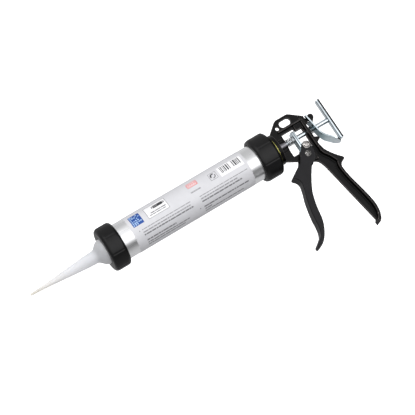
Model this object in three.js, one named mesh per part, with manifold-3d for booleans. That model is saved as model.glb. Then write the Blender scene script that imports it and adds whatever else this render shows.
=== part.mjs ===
// Closed-barrel hand caulking gun: an aluminium barrel between two screwed plastic rings, a cast
// frame with a squeeze trigger, a gripped push rod with a T handle, and a thumb-released brake plate.
// Units are millimetres. The barrel axis is the X axis of the drawing, the nozzle points along -X,
// the handle hangs along -Z, and the mid-plane of the gun is y = 0.
import * as THREE from 'three';
import { mergeVertices } from 'three/addons/utils/BufferGeometryUtils.js';
import Module from 'manifold-3d';

const wasm = await Module();
wasm.setup();

// ---------------------------------------------------------------- driving dimensions
const FIT = 0.1; // radial play of a pin or shank in its hole
const PLAY = 0.3; // gap between neighbouring faces

// barrel
const TUBE_R = 26;
const TUBE_WALL = 1;
const TUBE_FRONT = -129;
const TUBE_REAR = 132.5;
const LABEL_FRONT = -93;
const LABEL_REAR = 91.5;
const LABEL_THICK = 0.2;

// screwed rings
const RING_R = 32.8;
const RING_BORE = 27;
const FRONT_RING = { front: -134, rear: -109.5 };
const REAR_RING = { front: 108.5, rear: 138.4 };
const NECK_R = 22.8;
const FLANGE_R = 26.4;
const FLANGE_FRONT = 132.8;
const FLANGE_REAR = 135.8;
const NECK_REAR = 145.2;
const NECK_WASHER_R = 24.2;
const NECK_WASHER_THICK = 1;

// nozzle
const NOZZLE_TIP = -248;
const NOZZLE_LIP_R = 18.4;
const NOZZLE_WALL = 1.2;

// push rod, piston and T handle
const ROD_R = 3.5;
const ROD_FRONT = -121;
const PISTON_REAR = -103;
const PISTON_THICK = 10;
const PISTON_R = 24.4;
const BACKING_R = 9; // washers on both sides of the piston
const BACKING_THICK = 1.5;
const NUT_THICK = 4.6;
const NUT_CORNER_R = 6.5;
const TENON_R = 2.5; // riveted end of the rod in the T handle
const T_FRONT = 228.7;
const T_DEPTH = 6;
const T_HALF_WIDTH = 5.2;
const T_HALF_LENGTH = 32.2;
const T_SHEET = 1.8;

// frame
const WEB_HALF = 2.4;
const POCKET_HALF = 1.3;
const BLOCK_HALF = 8;
const RIM_HALF = 9.5;
const GRIP_HALF = 11;
const EAR_HALF = 4;
const GUIDE_BOSS_R = 4.8; // boss round the rod in the yoke's side pockets
const POCKET_FRONT = 147;
const POCKET_REAR = 158.6;
const PIN_HOLE_REACH = 20; // a drill that passes through every cheek and boss
const REAR_WALL_FRONT = 193;
const REAR_WALL_REAR = 197;
const WINDOW_FRONT = 160.5;
const WINDOW_REAR = 190;

// trigger
const CHEEK_INNER = 8.4;
const CHEEK_OUTER = 11;
const PIN_R = 3;
const PIVOT = new THREE.Vector2(175.3, -28.7);
const DRIVE = new THREE.Vector2(180.4, -17);
const PIVOT_HEAD_R = 3.4;
const PIVOT_WASHER_R = 4.4;
const DRIVE_HEAD_R = 3.8;
const DRIVE_WASHER_R = 5.3;
const PIN_WASHER_THICK = 1.2;
const PIN_WASHER_GAP = 0.2;

// gripping plates and their spring
const PLATE_THICK = 2.4;
const PLATE_HALF = 7.5;
const PLATE_TOP = 9.9;
const PLATE_BOTTOM = -19.5;
const REAR_PLATE_BACK = DRIVE.x - PIN_R - PLAY;
const FRONT_PLATE_BACK = REAR_PLATE_BACK - PLATE_THICK - 0.2; // the two plates lie 0.2 apart
const FRONT_PLATE_FACE = FRONT_PLATE_BACK - PLATE_THICK;

// springs: mean radius of the coil, wire diameter and turns
const RETURN_SPRING = { radius: 5.2, wire: 1.2, turns: 4 };
const BRAKE_SPRING = { radius: 5, wire: 1.1, turns: 3, rear: 203.6 };
const SPRING_GAP = 0.2;

// brake plate
const BRAKE_THICK = 2.6;
const BRAKE_HALF = 9.5;
const BRAKE_TOP = new THREE.Vector2(203.6, 20.5);
const BRAKE_BEND = new THREE.Vector2(208.9, -15.5);
const BRAKE_TIP = new THREE.Vector2(228, -35.5);
const BRAKE_TAIL_HALF = 11.5;
const BRAKE_FLARE = 8; // length over which the tail widens
const FORK_HALF = 4.2;
const FORK_DEPTH = 9.8;

// facets round a full turn
const FACETS = 48;
const SMALL_FACETS = 24;

// ---------------------------------------------------------------- materials
const finish = (color, roughness, metalness, extra = {}) =>
  new THREE.MeshStandardMaterial({ color, roughness, metalness, ...extra });
const castBlack = finish(0x1b1b1d, 0.45, 0.1);
const ringBlack = finish(0x242426, 0.55, 0);
const zinc = finish(0xc3cdd0, 0.28, 1);
const steel = finish(0xb9bbbd, 0.35, 1);
const yellowZinc = finish(0xc9bf5a, 0.35, 0.9);
const aluminium = finish(0xcfd0d2, 0.3, 1);
const paper = finish(0xe4e5e8, 0.6, 0);
const clearPlastic = finish(0xe6e6e4, 0.4, 0, { transparent: true, opacity: 0.8 });
const pistonPlastic = finish(0xd9d6cc, 0.55, 0);

// ---------------------------------------------------------------- solid helpers
function toSolid(geometry) {
  const bare = geometry.clone();
  bare.deleteAttribute('normal');
  bare.deleteAttribute('uv');
  const merged = mergeVertices(bare, 1e-4);
  const mesh = new wasm.Mesh({
    numProp: 3,
    vertProperties: new Float32Array(merged.attributes.position.array),
    triVerts: new Uint32Array(merged.index.array),
  });
  return new wasm.Manifold(mesh);
}

function toGeometry(solid) {
  const mesh = solid.getMesh();
  const geometry = new THREE.BufferGeometry();
  geometry.setAttribute('position', new THREE.Float32BufferAttribute(mesh.vertProperties, 3));
  geometry.setIndex(new THREE.Uint32BufferAttribute(mesh.triVerts, 1));
  geometry.computeVertexNormals();
  return geometry;
}

const join = (first, ...others) =>
  toGeometry(others.reduce((solid, other) => solid.add(toSolid(other)), toSolid(first)));
const cut = (first, ...others) =>
  toGeometry(others.reduce((solid, other) => solid.subtract(toSolid(other)), toSolid(first)));

// A side outline (x, z) made into a slab centred on the mid-plane, its edges rounded by `round`.
function slab(outline, half, round = 0, steps = 6, bevelSegments = 1) {
  const depth = 2 * (half - round);
  const geometry = new THREE.ExtrudeGeometry(outline, {
    depth,
    curveSegments: steps,
    bevelEnabled: round > 0,
    bevelThickness: round,
    bevelSize: round,
    bevelOffset: -round,
    bevelSegments,
  });
  geometry.translate(0, 0, -depth / 2);
  geometry.rotateX(Math.PI / 2);
  return geometry;
}

// A closed profile of [x, radius] points turned about the barrel axis.
function turned(profile, facets = FACETS) {
  const points = profile.map(([x, r]) => new THREE.Vector2(r, x));
  points.push(points[0].clone());
  if (THREE.ShapeUtils.area(points) < 0) points.reverse();
  const geometry = new THREE.LatheGeometry(points, facets);
  geometry.rotateZ(-Math.PI / 2);
  return geometry;
}

// A plain round bar from x0 to x1 on the barrel axis.
function bar(x0, x1, radius, facets = SMALL_FACETS) {
  const geometry = new THREE.CylinderGeometry(radius, radius, x1 - x0, facets);
  geometry.rotateZ(Math.PI / 2);
  geometry.translate((x0 + x1) / 2, 0, 0);
  return geometry;
}

// A round bar across the gun, from y0 to y1, at a point of the mid-plane.
function crossBar(centre, y0, y1, radius, facets = SMALL_FACETS) {
  const geometry = new THREE.CylinderGeometry(radius, radius, y1 - y0, facets);
  geometry.translate(centre.x, (y0 + y1) / 2, centre.y);
  return geometry;
}

function crossWasher(centre, y0, thick, outer) {
  const disc = crossBar(centre, y0, y0 + thick, outer);
  return cut(disc, crossBar(centre, y0 - 1, y0 + thick + 1, PIN_R + FIT));
}

function axialWasher(x0, thick, outer, inner) {
  return turned([[x0, inner], [x0, outer], [x0 + thick, outer], [x0 + thick, inner]], SMALL_FACETS);
}

function outlineOf(points) {
  return new THREE.Shape(points.map(([x, z]) => new THREE.Vector2(x, z)));
}

// Open coil of round wire about the barrel axis, with a flat closed turn at each end.
class Coil extends THREE.Curve {
  constructor(x0, x1, radius, turns) {
    super();
    Object.assign(this, { x0, x1, radius, turns });
  }

  getPoint(t, target = new THREE.Vector3()) {
    const angle = 2 * Math.PI * this.turns * t;
    const rise = THREE.MathUtils.smoothstep(t, 0, 1) * 0.35 + t * 0.65;
    return target.set(
      this.x0 + (this.x1 - this.x0) * rise,
      this.radius * Math.cos(angle),
      this.radius * Math.sin(angle),
    );
  }
}

function coil(x0, x1, radius, wire, turns) {
  const section = new THREE.Shape();
  section.absarc(0, 0, wire / 2, 0, 2 * Math.PI);
  return new THREE.ExtrudeGeometry(section, {
    steps: Math.round(turns * 14),
    curveSegments: 3,
    extrudePath: new Coil(x0 + wire / 2, x1 - wire / 2, radius, turns),
  });
}

// ---------------------------------------------------------------- barrel
function barrelTube() {
  const inner = TUBE_R - TUBE_WALL;
  return turned([[TUBE_FRONT, inner], [TUBE_FRONT, TUBE_R], [TUBE_REAR, TUBE_R], [TUBE_REAR, inner]]);
}

function barrelLabel() {
  const inner = TUBE_R + 0.05;
  const outer = inner + LABEL_THICK;
  return turned([[LABEL_FRONT, inner], [LABEL_FRONT, outer], [LABEL_REAR, outer], [LABEL_REAR, inner]]);
}

function frontRing() {
  const { front, rear } = FRONT_RING;
  const lip = front + 2.2;
  return turned([
    [front, NOZZLE_LIP_R + 0.5],
    [front, 27.8],
    [front + 1.2, 30.6],
    [front + 3.6, RING_R],
    [rear - 3.6, RING_R],
    [rear - 1, 30],
    [rear, RING_BORE + 0.8],
    [rear, RING_BORE],
    [lip, RING_BORE],
    [lip, NOZZLE_LIP_R + 0.5],
  ]);
}

function rearRing() {
  const { front, rear } = REAR_RING;
  const seat = FLANGE_REAR + PLAY;
  return turned([
    [front, RING_BORE],
    [front, RING_BORE + 0.8],
    [front + 1.6, 30.4],
    [front + 4.2, RING_R],
    [rear - 4.6, RING_R],
    [rear - 3, RING_R - 2],
    [rear, 24.8],
    [rear, NECK_R + PLAY],
    [seat, NECK_R + PLAY],
    [seat, RING_BORE],
  ]);
}

function nozzle() {
  const outer = [
    [NOZZLE_TIP, 1.7],
    [-240, 1.9],
    [-220, 3.3],
    [-180, 7.05],
    [-160, 8.7],
    [-148, 9.2],
    [-146.4, 10.2],
    [-140.3, 16.2],
    [-136.4, 17.9],
    [-134.6, NOZZLE_LIP_R],
    [-131.5, NOZZLE_LIP_R],
    [-131.5, 25.6],
    [-129.3, 25.6],
  ];
  const inner = [
    [-129.3, NOZZLE_LIP_R - NOZZLE_WALL],
    [-135, 16.8],
    [-140.3, 14.6],
    [-147.6, 7.8],
    [-160, 7.5],
    [-180, 5.85],
    [-220, 2.3],
    [NOZZLE_TIP, 0.9],
  ];
  return turned([...outer, ...inner], 32);
}

// ---------------------------------------------------------------- frame
function frameWeb() {
  const outline = new THREE.Shape();
  outline.moveTo(140, 21);
  outline.lineTo(146.2, 22.4);
  outline.lineTo(160.6, 34.4);
  outline.quadraticCurveTo(163.4, 36.8, 167.5, 36.8);
  outline.lineTo(181.5, 36.8);
  outline.quadraticCurveTo(184.6, 36.6, 187.2, 34.5);
  outline.lineTo(203, 22.2);
  outline.lineTo(201.8, 20.9);
  outline.lineTo(195, 12);
  outline.lineTo(195, -36);
  outline.lineTo(204, -50);
  outline.lineTo(204, -70);
  outline.lineTo(212.5, -118);
  outline.lineTo(213.6, -140);
  outline.lineTo(206.6, -159.6);
  outline.lineTo(189.4, -60);
  outline.quadraticCurveTo(187.2, -46.2, 182.4, -42.6);
  outline.lineTo(140, -18.6);
  outline.closePath();

  const window = outlineOf([
    [WINDOW_FRONT, 13.5],
    [WINDOW_FRONT, -2],
    [WINDOW_FRONT - 1.6, -11],
    [WINDOW_FRONT - 1.6, -20.9],
    [WINDOW_REAR, -20.9],
    [WINDOW_REAR, 9],
    [180.6, 9],
    [179.4, 13.5],
  ]);
  const slot = new THREE.Path();
  slot.absarc(178.4, 26.9, 4.9, -Math.PI / 2, Math.PI / 2);
  slot.absarc(170.9, 26.9, 4.9, Math.PI / 2, 1.5 * Math.PI);
  const eye = new THREE.Path();
  eye.absarc(160.9, 25, 2.8, 0, 2 * Math.PI);
  outline.holes.push(window, slot, eye);
  return slab(outline, WEB_HALF, 0.4, 5);
}

// Thick boss that carries the trigger's pivot between the cheeks.
function frameBlock() {
  const outline = outlineOf([[168, -21.8], [186, -21.8], [186, -41.4], [182.6, -40.4], [168, -33]]);
  return slab(outline, BLOCK_HALF, 0.8);
}

// The flange that turns over the window, runs down behind it and becomes the back of the handle.
function frameRim() {
  const outline = new THREE.Shape();
  outline.moveTo(157.5, 19.4);
  outline.lineTo(193.2, 19.4);
  outline.quadraticCurveTo(REAR_WALL_REAR, 19.4, REAR_WALL_REAR, 15.4);
  outline.lineTo(REAR_WALL_REAR, -34);
  outline.lineTo(REAR_WALL_FRONT, -34);
  outline.lineTo(REAR_WALL_FRONT, 17.4);
  outline.lineTo(157.5, 17.4);
  outline.closePath();
  return slab(outline, RIM_HALF, 0.5);
}

function frameGrip() {
  const outline = new THREE.Shape();
  outline.moveTo(REAR_WALL_REAR, -26);
  outline.quadraticCurveTo(197.4, -32.4, 200.2, -37.6);
  outline.quadraticCurveTo(206.6, -48.6, 214.4, -56.2);
  outline.quadraticCurveTo(216.6, -58.8, 214.2, -60.6);
  outline.quadraticCurveTo(206, -63.4, 205.7, -69);
  outline.quadraticCurveTo(206.4, -84, 210.8, -102.3);
  outline.quadraticCurveTo(214.6, -120, 215.9, -132.4);
  outline.quadraticCurveTo(216.9, -146, 211.8, -155.6);
  outline.quadraticCurveTo(209.2, -160.6, 206.4, -161);
  outline.lineTo(205.8, -156);
  outline.quadraticCurveTo(213.2, -148.6, 212.2, -133);
  outline.quadraticCurveTo(210.6, -120, 207.3, -103);
  outline.quadraticCurveTo(202.6, -82, 202.2, -68);
  outline.quadraticCurveTo(202.6, -61, 204.8, -57.6);
  outline.quadraticCurveTo(201.6, -48, 194.6, -38.6);
  outline.lineTo(REAR_WALL_FRONT, -34);
  outline.lineTo(REAR_WALL_FRONT, -26);
  outline.closePath();
  return slab(outline, GRIP_HALF, 0.8, 4, 2);
}

function frameNeck() {
  const floor = NECK_REAR - 3;
  return turned([
    [FLANGE_FRONT, 19.6],
    [FLANGE_FRONT, FLANGE_R],
    [FLANGE_REAR, FLANGE_R],
    [FLANGE_REAR, NECK_R],
    [NECK_REAR - 0.6, NECK_R],
    [NECK_REAR, NECK_R - 0.6],
    [NECK_REAR, 2],
    [floor, 2],
    [floor, 18.6],
    [floor - 1, 19.6],
  ]);
}

function frame() {
  const ear = outlineOf([
    [194, 11],
    [194, 22],
    [200, 23.4],
    [202.4, 22],
    [201.8, 20.6],
    [203, 10.4],
    [197, 9.6],
  ]);
  const hornNeck = outlineOf([[201, 13], [201, 17.6], [208.4, 17.6], [208.4, 13]]);
  const horn = new THREE.Shape();
  horn.absarc(210.2, 16.1, 4.7, 0.7 * Math.PI, -0.2 * Math.PI, true);
  horn.lineTo(210.4, 8.9);
  horn.lineTo(207.9, 9.2);
  horn.closePath();
  const lug = outlineOf([
    [195, -9],
    [198.4, -10.4],
    [204.6, -13.6],
    [205.4, -15.2],
    [204.4, -16.8],
    [198, -20.6],
    [195, -22],
  ]);
  const stop = outlineOf([[181, 9], [190.6, 9], [192, 7], [194, 7], [194, 18.4], [181, 18.4]]);
  const pocket = outlineOf([
    [POCKET_FRONT, 9],
    [POCKET_FRONT, -9.6],
    [POCKET_REAR, -9.6],
    [POCKET_REAR, 9],
  ]);
  const sidePocket = (side) =>
    slab(pocket, BLOCK_HALF / 2).translate(0, side * (POCKET_HALF + BLOCK_HALF / 2), 0);
  const solid = join(
    frameWeb(),
    frameBlock(),
    frameRim(),
    frameGrip(),
    frameNeck(),
    slab(ear, EAR_HALF, 0.6),
    slab(hornNeck, EAR_HALF - 0.6),
    slab(horn, EAR_HALF, 0.7, 5),
    slab(lug, EAR_HALF - 0.8, 0.5),
    slab(stop, 5, 0.5),
  );
  const pocketed = cut(solid, sidePocket(-1), sidePocket(1));
  return cut(
    join(pocketed, bar(POCKET_FRONT - 1, POCKET_REAR + 1, GUIDE_BOSS_R)),
    bar(100, REAR_WALL_REAR + 2, ROD_R + 0.4),
    crossBar(PIVOT, -PIN_HOLE_REACH, PIN_HOLE_REACH, PIN_R + FIT),
  );
}

function neckWasher() {
  const front = REAR_RING.rear + 0.2;
  const rear = front + NECK_WASHER_THICK;
  const inner = NECK_R + FIT;
  return turned([[front, inner], [front, NECK_WASHER_R], [rear, NECK_WASHER_R], [rear, inner]]);
}

// ---------------------------------------------------------------- trigger
function trigger() {
  const side = new THREE.Shape();
  side.moveTo(DRIVE.x - 6.2, DRIVE.y + 2.6);
  side.lineTo(164.2, -24.6);
  side.quadraticCurveTo(160.4, -32.4, 157.4, -34.5);
  side.lineTo(140.2, -45.2);
  side.quadraticCurveTo(137.2, -46.6, 139, -49);
  side.quadraticCurveTo(144.6, -53.6, 144.4, -59.6);
  side.quadraticCurveTo(142.4, -69.6, 138, -80);
  side.quadraticCurveTo(132.8, -98, 131.2, -111);
  side.quadraticCurveTo(130.2, -128, 125.4, -134.8);
  side.quadraticCurveTo(120.4, -139.2, 114.6, -142.8);
  side.quadraticCurveTo(111.4, -146.6, 115.4, -148.2);
  side.quadraticCurveTo(123, -146.6, 130, -137.6);
  side.quadraticCurveTo(138.6, -126, 141.4, -113.4);
  side.quadraticCurveTo(144.4, -92, 150.4, -77.4);
  side.quadraticCurveTo(158.4, -61, 172.6, -43.2);
  side.quadraticCurveTo(180, -42.4, 182.4, -38);
  side.quadraticCurveTo(186.4, -31, 186.2, -20.4);
  side.absarc(DRIVE.x, DRIVE.y, 6.6, -0.4, 0.85 * Math.PI, false);
  side.closePath();

  const hollow = new THREE.Shape();
  hollow.moveTo(150, 0);
  hollow.lineTo(150, -30);
  hollow.lineTo(160.6, -36.8);
  hollow.lineTo(147.4, -45.6);
  hollow.quadraticCurveTo(148.6, -52, 148.2, -59.4);
  hollow.quadraticCurveTo(146, -71, 141.6, -81.4);
  hollow.quadraticCurveTo(136.6, -98, 135, -111.4);
  hollow.quadraticCurveTo(134.2, -124, 131.4, -131);
  hollow.lineTo(150, -131);
  hollow.lineTo(200, -60);
  hollow.lineTo(200, 0);
  hollow.closePath();

  return cut(
    slab(side, CHEEK_OUTER, 1.2, 5, 2),
    slab(hollow, CHEEK_INNER, 0, 5),
    crossBar(PIVOT, -PIN_HOLE_REACH, PIN_HOLE_REACH, PIN_R + FIT),
    crossBar(DRIVE, -PIN_HOLE_REACH, PIN_HOLE_REACH, PIN_R + FIT),
  );
}

// Headed pin with its other end spread over a washer.
function rivetPin(centre, headR) {
  const tail = CHEEK_OUTER + PIN_WASHER_GAP + PIN_WASHER_THICK + PLAY;
  return join(
    crossBar(centre, -tail, tail + 0.6, PIN_R),
    crossBar(centre, -tail - 1.4, -tail, headR),
    crossBar(centre, tail, tail + 1.2, headR),
  );
}

// ---------------------------------------------------------------- gripping plates, brake, rod
// Flat sheet cut to a plan. The plan's x runs across the gun and its y runs from `start` along
// `direction`, both points of the mid-plane; the sheet lies `thick` deep, centred on that line.
function sheet(plan, start, direction, thick, steps = 8) {
  const geometry = new THREE.ExtrudeGeometry(plan, {
    depth: thick,
    curveSegments: steps,
    bevelEnabled: false,
  });
  geometry.translate(0, 0, -thick / 2);
  const along = new THREE.Vector3(direction.x, 0, direction.y).normalize();
  const across = new THREE.Vector3(0, 1, 0);
  const normal = new THREE.Vector3().crossVectors(across, along);
  const place = new THREE.Matrix4().makeBasis(across, along, normal);
  place.setPosition(start.x, 0, start.y);
  geometry.applyMatrix4(place);
  return geometry;
}

function grippingPlate(back) {
  const height = PLATE_TOP - PLATE_BOTTOM;
  const corner = 2.4;
  const plan = new THREE.Shape();
  plan.moveTo(-PLATE_HALF, corner);
  plan.quadraticCurveTo(-PLATE_HALF, 0, -PLATE_HALF + corner, 0);
  plan.lineTo(PLATE_HALF - corner, 0);
  plan.quadraticCurveTo(PLATE_HALF, 0, PLATE_HALF, corner);
  plan.lineTo(PLATE_HALF, height);
  plan.lineTo(-PLATE_HALF, height);
  plan.closePath();
  const hole = new THREE.Path();
  hole.absarc(0, PLATE_TOP, ROD_R + PLAY, 0, 2 * Math.PI);
  plan.holes.push(hole);
  const start = new THREE.Vector2(back - PLATE_THICK / 2, PLATE_TOP);
  return sheet(plan, start, new THREE.Vector2(0, -1), PLATE_THICK);
}

// Sheet bent once: a steep plate, forked at the top round the frame's horn, and a wider thumb tail.
function brakePlate() {
  const down = BRAKE_BEND.clone().sub(BRAKE_TOP);
  const out = BRAKE_TIP.clone().sub(BRAKE_BEND);
  const upright = new THREE.Shape();
  upright.moveTo(-BRAKE_HALF, 1.5);
  upright.lineTo(-BRAKE_HALF + 1.5, 0);
  upright.lineTo(-FORK_HALF, 0);
  upright.lineTo(-FORK_HALF, FORK_DEPTH);
  upright.lineTo(FORK_HALF, FORK_DEPTH);
  upright.lineTo(FORK_HALF, 0);
  upright.lineTo(BRAKE_HALF - 1.5, 0);
  upright.lineTo(BRAKE_HALF, 1.5);
  upright.lineTo(BRAKE_HALF, down.length());
  upright.lineTo(-BRAKE_HALF, down.length());
  upright.closePath();
  const tail = new THREE.Shape();
  const tailRound = out.length() - BRAKE_TAIL_HALF;
  tail.moveTo(BRAKE_HALF, 0);
  tail.quadraticCurveTo(BRAKE_TAIL_HALF, BRAKE_FLARE / 2, BRAKE_TAIL_HALF, BRAKE_FLARE);
  tail.lineTo(BRAKE_TAIL_HALF, tailRound);
  tail.absarc(0, tailRound, BRAKE_TAIL_HALF, 0, Math.PI, false);
  tail.lineTo(-BRAKE_TAIL_HALF, BRAKE_FLARE);
  tail.quadraticCurveTo(-BRAKE_TAIL_HALF, BRAKE_FLARE / 2, -BRAKE_HALF, 0);
  tail.closePath();
  const plate = join(
    sheet(upright, BRAKE_TOP, down, BRAKE_THICK),
    sheet(tail, BRAKE_BEND, out, BRAKE_THICK, 16),
    crossBar(BRAKE_BEND, -BRAKE_HALF, BRAKE_HALF, BRAKE_THICK / 2, 16),
  );
  return cut(plate, bar(BRAKE_TOP.x - 10, BRAKE_TOP.x + 10, ROD_R + 2 * PLAY));
}

function pistonRod() {
  const tenonEnd = T_FRONT + T_SHEET + 0.6;
  return turned([
    [ROD_FRONT, 0],
    [ROD_FRONT, ROD_R - 0.8],
    [ROD_FRONT + 0.8, ROD_R],
    [T_FRONT - PLAY, ROD_R],
    [T_FRONT - PLAY, TENON_R],
    [tenonEnd, TENON_R],
    [tenonEnd, ROD_R],
    [tenonEnd + 0.9, ROD_R - 0.6],
    [tenonEnd + 1.2, 0],
  ], SMALL_FACETS);
}

// Folded channel with its web against the rod and its open side to the rear.
function tHandle() {
  const rear = T_FRONT + T_DEPTH;
  const inner = T_HALF_WIDTH - T_SHEET;
  const section = new THREE.Shape();
  section.moveTo(rear, -T_HALF_WIDTH);
  section.lineTo(rear, -inner);
  section.lineTo(T_FRONT + T_SHEET, -inner);
  section.lineTo(T_FRONT + T_SHEET, inner);
  section.lineTo(rear, inner);
  section.lineTo(rear, T_HALF_WIDTH);
  section.lineTo(T_FRONT + 2, T_HALF_WIDTH);
  section.quadraticCurveTo(T_FRONT, T_HALF_WIDTH, T_FRONT, T_HALF_WIDTH - 2);
  section.lineTo(T_FRONT, -T_HALF_WIDTH + 2);
  section.quadraticCurveTo(T_FRONT, -T_HALF_WIDTH, T_FRONT + 2, -T_HALF_WIDTH);
  section.closePath();
  const channel = new THREE.ExtrudeGeometry(section, {
    depth: 2 * T_HALF_LENGTH,
    curveSegments: 4,
    bevelEnabled: false,
  });
  channel.translate(0, 0, -T_HALF_LENGTH);
  const corner = outlineOf([
    [T_FRONT - 1, T_HALF_LENGTH - 3],
    [T_FRONT + 0.8, T_HALF_LENGTH - 0.8],
    [T_FRONT + 3, T_HALF_LENGTH + 1],
    [T_FRONT - 1, T_HALF_LENGTH + 1],
  ]);
  const upper = slab(corner, T_HALF_WIDTH + 1);
  const lower = upper.clone().rotateX(Math.PI);
  return cut(channel, upper, lower, bar(T_FRONT - 5, T_FRONT + T_SHEET + 0.5, TENON_R + FIT));
}

function pistonDisc() {
  const front = PISTON_REAR - PISTON_THICK;
  return turned([
    [front, ROD_R + PLAY],
    [front, PISTON_R - 2.5],
    [front + 1, PISTON_R],
    [PISTON_REAR, PISTON_R - 0.3],
    [PISTON_REAR, PISTON_R - 2.6],
    [front + 4, PISTON_R - 3.6],
    [front + 4, 9.5],
    [PISTON_REAR, 9.5],
    [PISTON_REAR, ROD_R + PLAY],
  ]);
}

function pistonNut() {
  const rear = PISTON_REAR - PISTON_THICK - PLAY - BACKING_THICK - PLAY;
  const front = rear - NUT_THICK;
  return cut(bar(front, rear, NUT_CORNER_R, 6), bar(front - 1, rear + 1, ROD_R + FIT));
}

// ---------------------------------------------------------------- assembly
const washerAt = {
  left: -CHEEK_OUTER - PIN_WASHER_GAP - PIN_WASHER_THICK,
  right: CHEEK_OUTER + PIN_WASHER_GAP,
};
const pivotWasher = (y0) => crossWasher(PIVOT, y0, PIN_WASHER_THICK, PIVOT_WASHER_R);
const driveWasher = (y0) => crossWasher(DRIVE, y0, PIN_WASHER_THICK, DRIVE_WASHER_R);
const backingWasher = (front) => axialWasher(front, BACKING_THICK, BACKING_R, ROD_R + FIT);
const pistonFront = PISTON_REAR - PISTON_THICK;

const springOf = ({ radius, wire, turns }, front, rear) =>
  coil(front + SPRING_GAP, rear, radius, wire, turns);

const nodes = [
  ['frame', frame(), castBlack],
  ['neck_washer', neckWasher(), yellowZinc],
  ['pivot_pin', rivetPin(PIVOT, PIVOT_HEAD_R), steel],
  ['pivot_washer_left', pivotWasher(washerAt.left), steel],
  ['pivot_washer_right', pivotWasher(washerAt.right), steel],
  ['trigger', trigger(), castBlack],
  ['drive_pin', rivetPin(DRIVE, DRIVE_HEAD_R), steel],
  ['drive_washer_left', driveWasher(washerAt.left), steel],
  ['drive_washer_right', driveWasher(washerAt.right), steel],
  ['grip_plate_rear', grippingPlate(REAR_PLATE_BACK), zinc],
  ['grip_plate_front', grippingPlate(FRONT_PLATE_BACK), zinc],
  ['return_spring', springOf(RETURN_SPRING, WINDOW_FRONT, FRONT_PLATE_FACE - SPRING_GAP), steel],
  ['brake_plate', brakePlate(), zinc],
  ['brake_spring', springOf(BRAKE_SPRING, REAR_WALL_REAR, BRAKE_SPRING.rear), steel],
  ['piston_rod', pistonRod(), zinc],
  ['t_handle', tHandle(), zinc],
  ['piston_nut', pistonNut(), steel],
  ['piston_washer_rear', backingWasher(PISTON_REAR + PLAY), steel],
  ['piston_disc', pistonDisc(), pistonPlastic],
  ['piston_washer_front', backingWasher(pistonFront - PLAY - BACKING_THICK), steel],
  ['barrel_tube', barrelTube(), aluminium],
  ['barrel_label', barrelLabel(), paper],
  ['rear_ring', rearRing(), ringBlack],
  ['front_ring', frontRing(), ringBlack],
  ['nozzle', nozzle(), clearPlastic],
];

const gun = new THREE.Group();
for (const [name, geometry, material] of nodes) {
  const mesh = new THREE.Mesh(geometry, material);
  mesh.name = name;
  gun.add(mesh);
}

// the drawing is moved so that the origin is the middle of the gun's bounding box
const middle = new THREE.Box3().setFromObject(gun, true).getCenter(new THREE.Vector3());
gun.position.copy(middle).negate();

const part = new THREE.Group();
part.add(gun);
export default part;
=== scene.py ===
import math
import random

import bmesh
import bpy
from mathutils import Matrix, Vector


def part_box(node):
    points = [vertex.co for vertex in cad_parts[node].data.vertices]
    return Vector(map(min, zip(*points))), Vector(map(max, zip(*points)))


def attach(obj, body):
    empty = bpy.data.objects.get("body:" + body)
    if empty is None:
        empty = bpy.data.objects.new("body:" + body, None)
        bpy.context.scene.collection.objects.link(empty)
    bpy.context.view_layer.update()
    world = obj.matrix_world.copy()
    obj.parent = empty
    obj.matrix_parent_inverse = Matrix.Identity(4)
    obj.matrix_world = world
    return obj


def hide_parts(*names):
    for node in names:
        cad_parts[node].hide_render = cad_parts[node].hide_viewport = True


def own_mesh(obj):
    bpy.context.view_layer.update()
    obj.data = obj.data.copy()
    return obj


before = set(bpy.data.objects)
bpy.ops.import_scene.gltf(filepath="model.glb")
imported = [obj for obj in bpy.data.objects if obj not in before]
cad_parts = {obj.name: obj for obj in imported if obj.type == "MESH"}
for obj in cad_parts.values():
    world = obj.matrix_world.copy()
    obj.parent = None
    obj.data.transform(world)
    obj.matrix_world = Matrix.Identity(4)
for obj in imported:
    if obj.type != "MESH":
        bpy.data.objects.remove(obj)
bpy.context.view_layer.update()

MM = 0.001

# ---------------------------------------------------------------- places taken from the frame
TUBE_LO, TUBE_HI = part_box("barrel_tube")
AXIS_Z = (TUBE_LO.z + TUBE_HI.z) / 2
TUBE_R = (TUBE_HI.z - TUBE_LO.z) / 2
TUBE_FRONT_X = -129  # the tube's front end in the drawing, in millimetres
ZERO_X = TUBE_LO.x - TUBE_FRONT_X * MM
THREAD_PITCH = 4  # millimetres, as in the ring couplings
THREAD_HEIGHT = 0.62
THREAD_WIDTH = 1.7
CLOSED_END_SHARE = 0.055  # how much of a spring's length its end turns give to its middle turns


def place(x, y, z):
    """A point of the drawing (millimetres, barrel axis at z 0) in the row frame."""
    return Vector((ZERO_X + x * MM, y * MM, AXIS_Z + z * MM))


def drawn_x(world_x):
    """The drawing's x, in millimetres, of an x in the row frame."""
    return (world_x - ZERO_X) / MM


def drawn_z(world_z):
    """The drawing's height over the barrel axis, in millimetres, of a z in the row frame."""
    return (world_z - AXIS_Z) / MM


def drawn_span(node):
    """The lowest and highest drawing x of a CAD node."""
    lo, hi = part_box(node)
    return drawn_x(lo.x), drawn_x(hi.x)


def drawn_centre(node):
    """The drawing's (x, z) of the middle of a CAD node."""
    lo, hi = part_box(node)
    return drawn_x((lo.x + hi.x) / 2), drawn_z((lo.z + hi.z) / 2)


# ---------------------------------------------------------------- mesh helpers
def linked(name, mesh):
    """A new object in the scene that shows the mesh."""
    obj = bpy.data.objects.new(name, mesh)
    bpy.context.scene.collection.objects.link(obj)
    return obj


def mesh_object(name, bm):
    """A new object in the scene made from a bmesh, which is freed."""
    mesh = bpy.data.meshes.new(name)
    bm.to_mesh(mesh)
    bm.free()
    return linked(name, mesh)


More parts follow.
